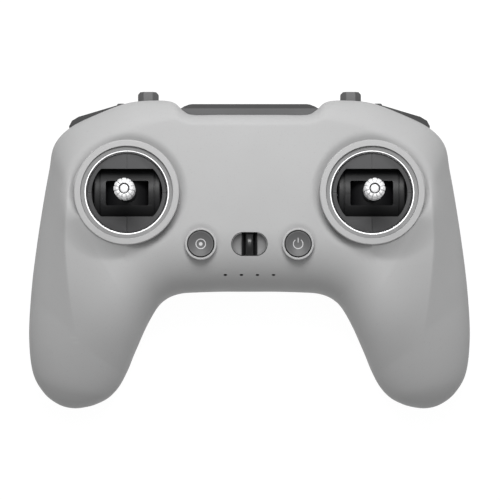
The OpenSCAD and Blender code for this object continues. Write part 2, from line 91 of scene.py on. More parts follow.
SIDES = {"left": -1, "right": 1}
GIMBAL_X, GIMBAL_Y = middle("gimbal_bezel_right")[:2]
BEZEL_Z = high("gimbal_bezel_right")[2]
BEZEL_R = (high("gimbal_bezel_right") - low("gimbal_bezel_right"))[0] / 2
PIVOT_Z = middle("lever_pin_right")[2] + 7
STICK_TOP = high("stick_crown_right")[2]
CROWN_R = (high("stick_crown_right") - low("stick_crown_right"))[0] / 2
BUTTON_X, BUTTON_Y = middle("power_button")[:2]
FACE_Z = high("power_button")[2] - 0.9
LANYARD_Y = middle("lanyard_bracket")[1]
LIGHT_Y = middle("light_guide")[1]

# ---------------------------------------------------------------- camera, light and floor

VIEW_TILT = math.radians(3)
VIEW_DISTANCE = 0.92
VIEW_X, VIEW_AIM_Z = 0.0002, 0.02
LENS = 177.3
KEY_HEIGHT, KEY_FOCUS, KEY_LIGHT = 64, 15, 2.1
FRONT_FOCUS, FRONT_LIGHT = 20, 1.35
BASE_LIGHT = 0.3

scene = bpy.context.scene
scene.view_settings.view_transform = "Standard"


def add_camera():
    data = bpy.data.cameras.new("camera")
    data.lens = LENS
    data.sensor_width = 36
    data.clip_end = 10
    camera = bpy.data.objects.new("camera", data)
    camera.location = (VIEW_X, -VIEW_DISTANCE * math.sin(VIEW_TILT),
                       VIEW_AIM_Z + VIEW_DISTANCE * math.cos(VIEW_TILT))
    camera.rotation_euler = (VIEW_TILT, 0, 0)
    scene.collection.objects.link(camera)
    scene.camera = camera


def add_area_light(name, place, aim, size, power):
    data = bpy.data.lights.new(name, "AREA")
    data.shape = "RECTANGLE"
    data.size, data.size_y = size
    data.energy = power
    light = bpy.data.objects.new(name, data)
    light.location = place
    light.rotation_euler = (Vector(aim) - Vector(place)).to_track_quat("-Z", "Y").to_euler()
    scene.collection.objects.link(light)


def add_world():
    """A soft sky: an even base, a broad glow high behind the top edge and a weaker one straight above."""
    world = bpy.data.worlds.new("studio")
    world.use_nodes = True
    tree = world.node_tree
    direction = tree.nodes.new("ShaderNodeTexCoord").outputs["Generated"]

    def lobe(elevation, power, strength):
        dot = tree.nodes.new("ShaderNodeVectorMath")
        dot.operation = "DOT_PRODUCT"
        dot.inputs[1].default_value = (0, math.cos(elevation), math.sin(elevation))
        tree.links.new(direction, dot.inputs[0])
        value = dot.outputs["Value"]
        for operation, number in (("MAXIMUM", 0.0), ("POWER", power), ("MULTIPLY", strength)):
            step = tree.nodes.new("ShaderNodeMath")
            step.operation = operation
            step.inputs[1].default_value = number
            tree.links.new(value, step.inputs[0])
            value = step.outputs[0]
        return value

    total = tree.nodes.new("ShaderNodeMath")
    total.operation = "ADD"
    tree.links.new(lobe(math.radians(KEY_HEIGHT), KEY_FOCUS, KEY_LIGHT), total.inputs[0])
    tree.links.new(lobe(math.radians(90), FRONT_FOCUS, FRONT_LIGHT), total.inputs[1])
    base = tree.nodes.new("ShaderNodeMath")
    base.operation = "ADD"
    base.inputs[1].default_value = BASE_LIGHT
    tree.links.new(total.outputs[0], base.inputs[0])
    background = tree.nodes["Background"]
    background.inputs["Color"].default_value = (1, 1, 1, 1)
    tree.links.new(base.outputs[0], background.inputs["Strength"])
    scene.world = world


# ---------------------------------------------------------------- materials


class Look:
    """A procedural material, built node by node around one Principled shader."""

    def __init__(self, name):
        self.material = bpy.data.materials.new(name)
        self.material.use_nodes = True
        self.tree = self.material.node_tree
        self.shader = self.tree.nodes["Principled BSDF"]
        coords = self.tree.nodes.new("ShaderNodeTexCoord")
        self.place = coords.outputs["Object"]

    def node(self, kind, **values):
        made = self.tree.nodes.new(kind)
        for key, value in values.items():
            if key in made.inputs:
                made.inputs[key].default_value = value
            else:
                setattr(made, key, value)
        return made

    def join(self, out, into):
        self.tree.links.new(out, into)

    def noise(self, scale, detail=3.0, rough=0.5, stretch=None):
        made = self.node("ShaderNodeTexNoise", Scale=scale, Detail=detail, Roughness=rough)
        place = self.place
        if stretch:
            mapping = self.node("ShaderNodeMapping", Scale=stretch)
            self.join(place, mapping.inputs["Vector"])
            place = mapping.outputs["Vector"]
        self.join(place, made.inputs["Vector"])
        return made.outputs["Fac"]

    def between(self, factor, low_value, high_value, start=0.3, stop=0.7):
        made = self.node("ShaderNodeMapRange")
        made.inputs["From Min"].default_value = start
        made.inputs["From Max"].default_value = stop
        made.inputs["To Min"].default_value = low_value
        made.inputs["To Max"].default_value = high_value
        self.join(factor, made.inputs["Value"])
        return made.outputs["Result"]

    def blend(self, factor, colour_a, colour_b):
        made = self.node("ShaderNodeMix", data_type="RGBA")
        for socket, colour in ((6, colour_a), (7, colour_b)):
            if isinstance(colour, (tuple, list)):
                made.inputs[socket].default_value = (*colour, 1)
            else:
                self.join(colour, made.inputs[socket])
        self.join(factor, made.inputs[0])
        return made.outputs[2]

    def bump(self, height, depth, strength=1.0, after=None):
        made = self.node("ShaderNodeBump")
        made.inputs["Strength"].default_value = strength
        made.inputs["Distance"].default_value = depth
        self.join(height, made.inputs["Height"])
        if after:
            self.join(after, made.inputs["Normal"])
        return made.outputs["Normal"]

    def outside(self, x, y, blur=0.0003):
        """1 where the place lies outside |x| or beyond y, 0 elsewhere."""
        parts = self.node("ShaderNodeSeparateXYZ")
        self.join(self.place, parts.inputs[0])
        wide = self.node("ShaderNodeMath", operation="ABSOLUTE")
        self.join(parts.outputs["X"], wide.inputs[0])
        either = self.node("ShaderNodeMath", operation="MAXIMUM")
        self.join(self.between(wide.outputs[0], 0, 1, x - blur, x + blur), either.inputs[0])
        self.join(self.between(parts.outputs["Y"], 0, 1, y - blur, y + blur), either.inputs[1])
        return either.outputs[0]

    def edges(self, start=0.53, stop=0.62):
        """1 on worn convex edges, 0 on open surfaces."""
        return self.between(self.node("ShaderNodeNewGeometry").outputs["Pointiness"], 0, 1, start, stop)


def shade(colour, factor):
    return tuple(min(1, c * factor) for c in colour)


def moulded_plastic(name, colour, roughness, grain=3200, depth=0.000012, wear=1.12, spread=0.05, coat=0.0,
                    shine=0.5, rim=None):
    """Moulded plastic: fine spark grain, faint flow clouds, rubbed edges and uneven gloss.

    The last argument (x, y, factor) darkens it outside |x| and beyond y, in metres, as painted shade.
    """
    look = Look(name)
    shader = look.shader
    clouds = look.between(look.noise(38, 4), 0, 1)
    body = look.blend(clouds, shade(colour, 1 - spread), shade(colour, 1 + spread))
    speck = look.between(look.noise(grain * 0.6, 2, 0.6), 0, 1, 0.62, 0.74)
    body = look.blend(speck, body, shade(colour, 0.9))
    body = look.blend(look.edges(), body, shade(colour, wear))
    # Painted shade: a darker copy of the colour outside the given |x| and beyond the given y.
    if rim:
        body = look.blend(look.outside(*rim[:2]), body, shade(colour, rim[2]))
    look.join(body, shader.inputs["Base Color"])
    gloss = look.between(look.noise(90, 5, 0.6), roughness - 0.06, roughness + 0.07)
    look.join(gloss, shader.inputs["Roughness"])
    fine = look.bump(look.noise(grain, 2, 0.7), depth, 0.8)
    look.join(look.bump(look.noise(220, 3), 0.000015, 0.35, fine), shader.inputs["Normal"])
    shader.inputs["IOR"].default_value = 1.48
    shader.inputs["Specular IOR Level"].default_value = shine
    shader.inputs["Coat Weight"].default_value = coat
    shader.inputs["Coat Roughness"].default_value = 0.12
    return look.material


def turned_metal(name, colour, roughness, stretch=(1, 1, 60), scale=260, metallic=1.0):
    """Machined metal: fine tool lines, small stains and brighter rubbed edges."""
    look = Look(name)
    shader = look.shader
    stain = look.between(look.noise(160, 5, 0.6), 0, 1)
    body = look.blend(stain, shade(colour, 0.9), shade(colour, 1.04))
    body = look.blend(look.edges(), body, shade(colour, 1.15))
    look.join(body, shader.inputs["Base Color"])
    lines = look.noise(scale, 4, 0.6, stretch)
    look.join(look.between(lines, roughness - 0.08, roughness + 0.1), shader.inputs["Roughness"])
    look.join(look.bump(lines, 0.000006, 0.6), shader.inputs["Normal"])
    shader.inputs["Metallic"].default_value = metallic
    return look.material


def circuit_board(name, colour):
    """Solder mask over copper traces, with a fine woven base."""
    look = Look(name)
    shader = look.shader
    brick = look.node("ShaderNodeTexBrick")
    brick.inputs["Scale"].default_value = 420
    brick.inputs["Color1"].default_value = (*colour, 1)
    brick.inputs["Color2"].default_value = (*shade(colour, 0.7), 1)
    brick.inputs["Mortar"].default_value = (*shade(colour, 1.9), 1)
    look.join(look.place, brick.inputs["Vector"])
    worn = look.blend(look.noise(300, 3), brick.outputs["Color"], shade(colour, 0.8))
    look.join(worn, shader.inputs["Base Color"])
    look.join(look.between(look.noise(500), 0.25, 0.45), shader.inputs["Roughness"])
    look.join(look.bump(brick.outputs["Fac"], 0.00003, 0.5), shader.inputs["Normal"])
    return look.material


CASE = moulded_plastic("case_plastic", (0.335, 0.335, 0.336), 0.55, wear=1.05, spread=0.018, shine=0.16)
BEZEL = moulded_plastic("bezel_plastic", (0.33, 0.33, 0.331), 0.45, wear=1.06, spread=0.018, grain=4200,
                        shine=0.25)
# Case plastic darkened to 0.2 as painted shade: it stands for the shade on the sloped bezel seat and in the
# concave lanyard bowl.
PAINTED_SHADE_PLASTIC = moulded_plastic("seat_plastic", (0.2, 0.2, 0.201), 0.5, wear=1.06, spread=0.02, grain=4200, shine=0.2)
# The panel is darkened by 0.3 outside |x| 26.2 mm and beyond y 52.5 mm: painted shade on its outer zone.
PANEL = moulded_plastic("panel_plastic", (0.062, 0.062, 0.063), 0.4, wear=1.3, shine=0.25,
                        rim=(0.0262, 0.0525, 0.3))
PLATE = moulded_plastic("plate_plastic", (0.034, 0.034, 0.035), 0.45, wear=1.4, grain=4200, shine=0.25)
DRUM = moulded_plastic("drum_plastic", (0.012, 0.012, 0.0125), 0.42, wear=1.5, grain=4200, shine=0.2)
INNER = moulded_plastic("inner_plastic", (0.006, 0.006, 0.0065), 0.5, wear=1.5, shine=0.1)
BUTTON = moulded_plastic("button_plastic", (0.085, 0.085, 0.086), 0.42, wear=1.2, grain=4200, shine=0.25)
LEVER = moulded_plastic("lever_plastic", (0.082, 0.082, 0.083), 0.4, wear=1.4, grain=4200, shine=0.3)
BAR = moulded_plastic("bar_plastic", (0.018, 0.018, 0.0185), 0.26, wear=1.5, depth=0.000003, shine=0.35)
LIGHT = moulded_plastic("light_plastic", (0.003, 0.003, 0.0035), 0.25, wear=1.5, depth=0.000002, shine=0.12)
ICON = moulded_plastic("icon_ink", (0.45, 0.45, 0.455), 0.5, wear=1.0, depth=0.000002, shine=0.2)
SLEEVE = moulded_plastic("cell_sleeve", (0.09, 0.15, 0.32), 0.3, wear=1.2)
GOLD = turned_metal("antenna_metal", (0.75, 0.58, 0.3), 0.35, (1, 1, 1))
STEEL = turned_metal("steel", (0.45, 0.45, 0.46), 0.3)
TRIM = turned_metal("trim_metal", (0.74, 0.74, 0.745), 0.26, (1, 1, 1), 90)
SILVER = turned_metal("stick_silver", (0.66, 0.66, 0.665), 0.42, (1, 1, 6), 300, 0.4)
BOARD = circuit_board("board", (0.02, 0.1, 0.05))

# ---------------------------------------------------------------- mesh helpers, all in mm


def finished(name, mesh, material, body, sharp=40, even=True):
    mesh.transform(Matrix.Scale(MM, 4))
    mesh.materials.clear()
    mesh.materials.append(material)
    for polygon in mesh.polygons:
        polygon.use_smooth = True
        polygon.material_index = 0
    mesh.set_sharp_from_angle(angle=math.radians(sharp))
    piece = bpy.data.objects.new(name, mesh)
    scene.collection.objects.link(piece)
    if even:
        modifier = piece.modifiers.new("even_shading", "WEIGHTED_NORMAL")
        modifier.keep_sharp = True
        modifier.weight = 100
    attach(piece, body)
    return piece


def mesh_of(points, faces):
    mesh = bpy.data.meshes.new("made")
    mesh.from_pydata([tuple(map(float, p)) for p in points], [], faces)
    mesh.validate()
    bm = bmesh.new()
    bm.from_mesh(mesh)
    bmesh.ops.remove_doubles(bm, verts=bm.verts, dist=1e-5)
    bmesh.ops.recalc_face_normals(bm, faces=bm.faces)
    bm.to_mesh(mesh)
    bm.free()
    return mesh


def filleted(corners, steps=5):
    """A closed outline of (x, y, radius) corners with each corner turned into an arc."""
    out = []
    count = len(corners)
    for i, (x, y, radius) in enumerate(corners):
        here = np.array((x, y), float)
        if radius <= 0:
            out.append(here)
            continue
        a = np.array(corners[i - 1][:2], float) - here
        b = np.array(corners[(i + 1) % count][:2], float) - here
        la, lb = np.linalg.norm(a), np.linalg.norm(b)
        a, b = a / la, b / lb
        half = math.acos(max(-1, min(1, float(a @ b)))) / 2
        reach = min(radius / math.tan(half), la * 0.49, lb * 0.49)
        radius = reach * math.tan(half)
        centre = here + (a + b) / np.linalg.norm(a + b) * radius / math.sin(half)
        start, stop = here + a * reach - centre, here + b * reach - centre
        turn = math.atan2(start[0] * stop[1] - start[1] * stop[0], float(start @ stop))
        for k in range(steps + 1):
            t = turn * k / steps
            c, s = math.cos(t), math.sin(t)
            out.append(centre + np.array((c * start[0] - s * start[1], s * start[0] + c * start[1])))
    return out


def turned(profile, centre, count=128, axis="z"):
    """A solid of revolution of a closed (radius, height) outline."""
    points, faces = [], []
    n = len(profile)
    for i in range(count):
        a = 2 * math.pi * i / count
        for r, h in profile:
            c, s = r * math.cos(a), r * math.sin(a)
            points.append({"z": (c, s, h), "x": (h, c, s), "y": (c, h, s)}[axis])
    for i in range(count):
        p, q = i * n, (i + 1) % count * n
        for j in range(n):
            k = (j + 1) % n
            faces.append((p + j, q + j, q + k, p + k))
    return mesh_of(np.array(points) + np.array(centre), faces)


def extruded(outline, z0, z1, centre=(0, 0, 0)):
    n = len(outline)
    points = [(x, y, z) for z in (z0, z1) for x, y in outline]
    faces = [tuple(range(n - 1, -1, -1)), tuple(range(n, 2 * n))]
    faces += [(j, (j + 1) % n, n + (j + 1) % n, n + j) for j in range(n)]
    return mesh_of(np.array(points) + np.array(centre), faces)


def box_mesh(lowest, highest):
    (a, b, c), (d, e, f) = lowest, highest
    return extruded([(a, b), (d, b), (d, e), (a, e)], c, f)


def cylinder_mesh(radius, z0, z1, centre=(0, 0, 0), axis="z", count=96):
    return turned([(0, z0), (radius, z0), (radius, z1), (0, z1)], centre, count, axis)


def joined(meshes):
    bm = bmesh.new()
    for mesh in meshes:
        bm.from_mesh(mesh)
    out = bpy.data.meshes.new("joined")
    bm.to_mesh(out)
    bm.free()
    return out


def combined(mesh, others, how="DIFFERENCE"):
    """mesh less, with, or within each of the other meshes."""
    target = bpy.data.objects.new("target", mesh)
    scene.collection.objects.link(target)
    tools = []
    for k, other in enumerate(others):
        tool = bpy.data.objects.new(f"tool{k}", other)
        scene.collection.objects.link(tool)
        tools.append(tool)
        modifier = target.modifiers.new(f"cut{k}", "BOOLEAN")
        modifier.object = tool
        modifier.operation = how
        modifier.solver = "MANIFOLD"
    made = bpy.data.meshes.new_from_object(target.evaluated_get(bpy.context.evaluated_depsgraph_get()))
    for gone in [target, *tools]:
        bpy.data.objects.remove(gone)
    return made


def softened(mesh, width, segments=3, angle=35, flat=0.6):
    """Flat regions merged into single faces, then every sharp edge rounded."""
    bm = bmesh.new()
    bm.from_mesh(mesh)
    bmesh.ops.remove_doubles(bm, verts=bm.verts, dist=1e-4)
    bmesh.ops.dissolve_limit(bm, angle_limit=math.radians(flat), verts=bm.verts, edges=bm.edges)
    bm.to_mesh(mesh)
    bm.free()
    holder = bpy.data.objects.new("holder", mesh)
    scene.collection.objects.link(holder)
    modifier = holder.modifiers.new("round", "BEVEL")
    modifier.width = width
    modifier.segments = segments
    modifier.limit_method = "ANGLE"
    modifier.angle_limit = math.radians(angle)
    modifier.miter_outer = "MITER_ARC"
    modifier.use_clamp_overlap = True
    made = bpy.data.meshes.new_from_object(holder.evaluated_get(bpy.context.evaluated_depsgraph_get()))
    bpy.data.objects.remove(holder)
    return made


def node_mesh(node):
    mesh = NODES[node].data.copy()
    mesh.transform(Matrix.Scale(1 / MM, 4))
    return mesh


# ---------------------------------------------------------------- case: ribs in mm
# They are those of the CAD loft, but the ones at x 56.4 and 66.7 are 0.8 and 0.7 mm lower at their outer end.
# Columns: outer end x, y; inner end x, y; height of the front and of the back; seam height at the outer
# and at the inner end; outer roll; inner roll; share of the outer roll that is a straight slant.

WALL = 2.2
SEAM_TOP = 26.2
RIBS = np.array([
    [0, 49.8, 0, -15.6, FACE_Z, 0.8, SEAM_TOP, 20, 5, 22, 0],
    [11, 49.8, 10, -15.6, FACE_Z, 0.8, SEAM_TOP, 20, 5, 22, 0],
    [21, 49.8, 17.5, -15.8, FACE_Z, 0.8, SEAM_TOP, 20, 5, 22, 0],
    [24.6, 51.4, 20, -15.9, FACE_Z, 0.8, SEAM_TOP, 20, 6, 22, 0],
    [28.2, 54.5, 22.5, -16, FACE_Z, 0.8, SEAM_TOP, 20, 8, 22, 0],
    [34, 55.3, 25.5, -16.3, FACE_Z, 0.8, SEAM_TOP, 20, 10, 22, 0],
    [45, 54.4, 29, -17.3, FACE_Z, 0.8, SEAM_TOP, 19.5, 12, 22, 0],
    [56.4, 50.3, 31.8, -18.9, FACE_Z, 0.8, SEAM_TOP, 19, 13, 22, 0.25],
    [66.7, 45.2, 34.1, -21.1, FACE_Z, 0.8, SEAM_TOP, 18.5, 14, 22, 0.5],
    [72.7, 38.8, 36.6, -25, FACE_Z, 0.9, 24.5, 18, 15, 22, 0.7],
    [74.7, 29.5, 39.1, -29.8, FACE_Z, 0.8, 23, 17.5, 15.5, 22, 0.8],
    [77, 17, 41.4, -35, FACE_Z - 1, 0.6, 21.5, 17, 17, 22, 0.75],
    [79.5, 1, 43.5, -39.8, FACE_Z - 3.2, 0.3, 20, 16, 20, 22, 0.5],
    [81.5, -15, 45.6, -44.9, FACE_Z - 6.8, 0, 18, 15, 22.5, 22, 0.2],
    [82.5, -32, 48.7, -50.7, FACE_Z - 11.6, 0, 16, 14, 24, 22, 0],
    [81.2, -45.5, 52.5, -54.9, FACE_Z - 16, 1, 14.5, 13.5, 24, 22, 0],
    [77.1, -53.3, 56.8, -57.3, FACE_Z - 20.2, 3.5, 13.5, 13, 24, 22, 0],
    [71.7, -57.6, 61, -58.6, FACE_Z - 24, 7.5, 12.8, 12.6, 24, 22, 0],
    [66.3, -59.1, 66.3, -59.1, 12.5, 12.5, 12.5, 12.5, 24, 22, 0],
])
LAST = len(RIBS) - 1
RIB_STEPS = 12
ROLL_STEPS = 22
FLAT_STEPS = 46
RAMP_EASE = 0.2
BACK_ROLL_OUTER, BACK_ROLL_INNER = 0.8, 0.5
SEAM_GROOVE = 0.22
MIRROR = np.array([-1, 1, -1, 1, 1, 1, 1, 1, 1, 1, 1])


def rib(i):
    if i < 0:
        return RIBS[-i] * MIRROR
    if i > LAST:
        r, seam = RIBS[LAST - 1], RIBS[LAST][6]
        return np.array([r[2], r[3], r[0], r[1], 2 * seam - r[4], 2 * seam - r[5], r[7], r[6], r[9], r[8], 0])
    return RIBS[i]


def rib_at(u):
    if u < 0:
        return rib_at(-u) * MIRROR
    i = min(int(u), LAST - 1)
    t = u - i
    a, b, c, d = (rib(i + k) for k in (-1, 0, 1, 2))
    return b + t * ((c - a) / 2 + t * ((a - b * 2.5 + c * 2 - d / 2) + t * ((b - c) * 1.5 + (d - a) / 2)))


def inset_edge(first, u, side, depth):
    near = 0.02
    run = rib_at(min(u + near, LAST))[first:first + 2] - rib_at(max(u - near, -LAST))[first:first + 2]
    run = run / np.linalg.norm(run)
    return rib_at(u)[first:first + 2] + np.array((run[1], -run[0])) * side * depth


def section(u, front, skin, roll_steps, flat_steps, groove):
    """One section of a skin, from the outer seam over the crown to the inner seam."""
    r = rib_at(u)
    a, b = inset_edge(0, u, 1, skin), inset_edge(2, u, -1, skin)
    length = np.linalg.norm(b - a)
    along = (b - a) / length
    top = min(FACE_Z, r[4]) - skin if front > 0 else max(0, r[5]) + skin
    widest = math.hypot(r[0] - r[2], r[1] - r[3]) / 2
    roll_a = min(r[8] * (1 if front > 0 else BACK_ROLL_OUTER), widest) - skin
    roll_b = min(r[9] * (1 if front > 0 else BACK_ROLL_INNER), widest) - skin
    points = []

    def add(s, z):
        points.append((*(a + along * s), z))

    for roll, seam, near in ((roll_a, r[6], True), (roll_b, r[7], False)):
        column = []
        if groove:
            column.append((groove, seam + front * 0.03))
        for k in range(roll_steps + 1):
            t = math.pi / 2 * k / roll_steps
            slant = r[10] if near and front > 0 else 0
            run = 1 - math.cos(t)
            ramp = run + RAMP_EASE * run * (1 - run * run)
            lift = max((1 - slant) * math.sin(t) + slant * ramp, 0.012 if groove else 0)
            column.append((roll * (1 - math.cos(t)), seam + (top - seam) * lift))
        if near:
            for s, z in column:
                add(s, z)
            for k in range(1, flat_steps):
                add(roll_a + (length - roll_a - roll_b) * k / flat_steps, top)
        else:
            for s, z in reversed(column):
                add(length - s, z)
    return points


def skin_grid(front, skin, roll_steps, flat_steps, groove=0.0):
    count = (LAST - 1) * RIB_STEPS + RIB_STEPS - 1
    return np.array([section(i / RIB_STEPS, front, skin, roll_steps, flat_steps, groove)
                     for i in range(-count, count + 1)])


def tip_point(side, skin):
    return (side * RIBS[LAST][0], RIBS[LAST][1] + skin, RIBS[LAST][6])


MOAT_WIDTH, MOAT_SLOPE = 3.5, 0.8
BUTTON_MOAT_WIDTH, BUTTON_MOAT_SLOPE = 1.7, 0.5
COLLAR_R = 5.85
SKIRT_MIDDLE, SKIRT_SPREAD = math.radians(-58), math.radians(74)
APRON_MIDDLE, APRON_SPREAD = math.radians(-40), math.radians(75)
FLANK_MIDDLE, FLANK_SPREAD, FLANK_WIDTH = math.radians(0), math.radians(80), 2.5
SKIRT_HEIGHT, SKIRT_WIDTH, APRON_WIDTH = 3.5, 3.0, 6.5
SKIRT_PLATEAU = 1.6
SKIRT_POWER, APRON_POWER = 1.15, 0.5


def moat(away, width, slope):
    """Depth of a moat at a distance from its inner edge: steep beside the edge, flat at its width."""
    d = np.clip(away, 0, width)
    return slope * (width * 2 / 3 - d + d ** 3 / (3 * width ** 2))


def swell(angle, middle_at, spread):
    """1 at one direction, falling smoothly to 0 at spread on both sides of it."""
    return 0.5 + 0.5 * np.cos(np.clip(np.abs(angle - middle_at) / spread, 0, 1) * math.pi)


def sunk(points):
    """Sinks a moat round each bezel and button, and raises a skirt at each bezel's outer lower side.

    Only the outer skin is passed here. Beside a bezel, about 10 to 45 degrees up from its outer side, the
    moat is deeper than WALL, so the outer skin lies up to 0.5 mm below the inner one there: an open fault.
    """
    x, y, z = points[..., 0], points[..., 1], points[..., 2]
    for side in (-1, 1):
        dx, dy = side * (x - side * GIMBAL_X), y - GIMBAL_Y
        away = np.hypot(dx, dy) - BEZEL_R
        angle = np.arctan2(dy, dx)
        tall = np.clip(SKIRT_PLATEAU * swell(angle, SKIRT_MIDDLE, SKIRT_SPREAD), 0, 1)
        broad = swell(angle, APRON_MIDDLE, APRON_SPREAD)
        share = 1 - np.clip(away / (SKIRT_WIDTH + APRON_WIDTH * broad), 0, 1)
        skirt = SKIRT_HEIGHT * share ** (SKIRT_POWER + APRON_POWER * broad)
        wide = MOAT_WIDTH + FLANK_WIDTH * swell(angle, FLANK_MIDDLE, FLANK_SPREAD)
        z = z - (1 - tall) * moat(away, wide, MOAT_SLOPE) + tall * skirt
        away = np.hypot(x - side * BUTTON_X, y - BUTTON_Y) - COLLAR_R
        z = z - moat(away, BUTTON_MOAT_WIDTH, BUTTON_MOAT_SLOPE)
    out = points.copy()
    out[..., 2] = z
    return out


def shell_mesh(front):
    outside = skin_grid(front, 0, ROLL_STEPS, FLAT_STEPS, SEAM_GROOVE)
    if front > 0:
        outside = sunk(outside)
    inside = skin_grid(front, WALL, 6, 3)
    points, faces, starts = [], [], []
    for grid, skin in ((outside, 0), (inside, WALL)):
        rows, n = grid.shape[:2]
        start = len(points)
        starts.append((start, rows, n))
        points.extend(grid.reshape(-1, 3))
        points.extend([tip_point(-1, skin), tip_point(1, skin)])
        apex = start + rows * n
        for i in range(rows - 1):
            for j in range(n - 1):
                p = start + i * n + j
                faces.append((p, p + n, p + n + 1, p + 1))
        for j in range(n - 1):
            faces.append((apex, start + j, start + j + 1))
            e = start + (rows - 1) * n + j
            faces.append((apex + 1, e + 1, e))
    runs = []
    for start, rows, n in starts:
        apex = start + rows * n
        runs.append(([apex, *(start + i * n for i in range(rows)), apex + 1],
                     [apex, *(start + i * n + n - 1 for i in range(rows)), apex + 1]))
    for outer_run, inner_run in zip(*runs):
        for k in range(len(outer_run) - 1):
            faces.append((outer_run[k], outer_run[k + 1], inner_run[k + 1], inner_run[k]))
    return mesh_of(points, faces)


def pill(half_length, radius, steps=24):
    ends = []
    for side in (1, -1):
        for k in range(steps + 1):
            a = -math.pi / 2 + math.pi * k / steps
            ends.append((side * (half_length + radius * math.cos(a)), side * radius * math.sin(a)))
    return ends


BOWL_R = 4.2
BOWL_HALF = 2.35
SLOT_HALF = 2.9
BAR_ARCH = 2.4


def make_front_shell():
    cutters = []
    for side in (-1, 1):
        cutters.append(cylinder_mesh(BEZEL_R - 0.7, 30, 50, (side * GIMBAL_X, GIMBAL_Y, 0)))
        cutters.append(cylinder_mesh(5.3, 30, 50, (side * BUTTON_X, BUTTON_Y, 0)))
    cutters.append(extruded(pill(BOWL_HALF, BOWL_R + 0.13), 30, 50, (0, LANYARD_Y, 0)))
    mesh = combined(shell_mesh(1), cutters)
    shell = finished("front_shell_skin", mesh, CASE, "case", 50, False)
    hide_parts("front_shell")
    return shell


def make_back_shell():
    mesh = combined(shell_mesh(-1), back_cutters())
    shell = finished("back_shell_skin", mesh, CASE, "case", 40, False)
    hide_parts("back_shell")


def screw_places():
    """Centres of the case screws: one for each loose part of that node."""
    bm = bmesh.new()
    bm.from_mesh(node_mesh("case_screws"))
    seen, places = set(), []
    for vert in bm.verts:
        if vert in seen:
            continue
        group, stack = [], [vert]
        seen.add(vert)
        while stack:
            here = stack.pop()
            group.append(here.co.copy())
            for edge in here.link_edges:
                other = edge.other_vert(here)
                if other not in seen:
                    seen.add(other)
                    stack.append(other)
        corners = np.array(group)
        places.append(tuple((corners.min(0) + corners.max(0))[:2] / 2))
    bm.free()
    return places


def back_cutters():
    cutters = []
    for x, y in screw_places():
        cutters.append(cylinder_mesh(2.3, -5, 11.6, (x, y, 0), count=64))
    room = [(-68.2, 70), (-68.2, 45.6), (-66.5, 40.8), (-58.2, 32.8), (58.2, 32.8), (66.5, 40.8),
            (68.2, 45.6), (68.2, 70)]
    cutters.append(extruded(room, -5, 60))
    return cutters


SHELL = make_front_shell()
make_back_shell()
SURFACE = BVHTree.FromObject(SHELL, bpy.context.evaluated_depsgraph_get())


def on_face(x, y, otherwise=None):
    """Height of the front shell at (x, y), and its outward normal, in mm."""
    place, normal, _, _ = SURFACE.ray_cast(Vector((x * MM, y * MM, 0.2)), Vector((0, 0, -1)))
    return (place.z / MM, normal) if place else (otherwise, Vector((0, 0, 1)))


# ---------------------------------------------------------------- gimbals


RIM_R = BEZEL_R + 0.15


def make_bezel(name, side):
    centre = (side * GIMBAL_X, GIMBAL_Y, 0)
    profile = filleted([
        (16.85, 37.4, 0.1), (17.4, 37.4, 0.1), (17.4, 37.8, 0), (RIM_R, 37.8, 0), (RIM_R, BEZEL_Z, 0.4),
        (16.85, BEZEL_Z, 0.25)], 6)
    piece = finished(f"bezel_{name}", turned(profile, centre, 160), BEZEL, "case", 60)
    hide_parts(f"gimbal_bezel_{name}")
    # The nearly flat seat ring takes the darkened plastic as painted shade for a sloped, shadowed seat.
    seat = filleted([(15.4, 37.4, 0), (16.82, 37.4, 0), (16.82, 43.0, 0.1), (15.4, 42.75, 0.1)], 5)
    finished(f"bezel_seat_{name}", turned(seat, centre, 160), PAINTED_SHADE_PLASTIC, "case", 60)
    trim = filleted([(14.42, 38.7, 0), (15.37, 38.7, 0), (15.37, 42.2, 0), (15.0, 42.2, 0.08),
                     (14.42, 41.4, 0.08)], 5)
    piece = finished(f"trim_{name}", turned(trim, centre, 160), TRIM, "case", 60)
    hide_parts(f"gimbal_trim_{name}")


def clipped_circle(radius, clip, steps=48, corner=0.6):
    """Outline of a circle cut straight at the top and bottom, with soft corners."""
    edge = math.asin(clip / radius)
    points = []
    for side in (1, -1):
        for k in range(steps + 1):
            a = -edge + 2 * edge * k / steps
            inner = 1 - corner * 0.02 * max(0, abs(a) / edge - 0.9) * 10
            points.append((side * radius * math.cos(a) * inner, side * radius * math.sin(a)))
    return points


def make_plate(name, side):
    centre = (side * GIMBAL_X, GIMBAL_Y, 0)
    disc = turned([(0, 39.9), (14.36, 39.9), (14.36, 40.9), (0, 40.9)], centre, 128)
    cutters = [extruded(clipped_circle(12.95, 8.75), 38, 43, centre)]
    for k in range(4):
        a = math.pi / 2 * k
        long_x, long_y = (2, 0.09) if k % 2 == 0 else (0.09, 4)
        x, y = centre[0] + 14.6 * math.cos(a), centre[1] + 13 * math.sin(a)
        cutters.append(box_mesh((x - long_x, y - long_y, 40.75), (x + long_x, y + long_y, 42)))
    mesh = softened(combined(disc, cutters), 0.14, 2, 40)
    piece = finished(f"plate_{name}", mesh, PLATE, "case", 40)
    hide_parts(f"gimbal_plate_{name}")


DRUM_R = 12.6


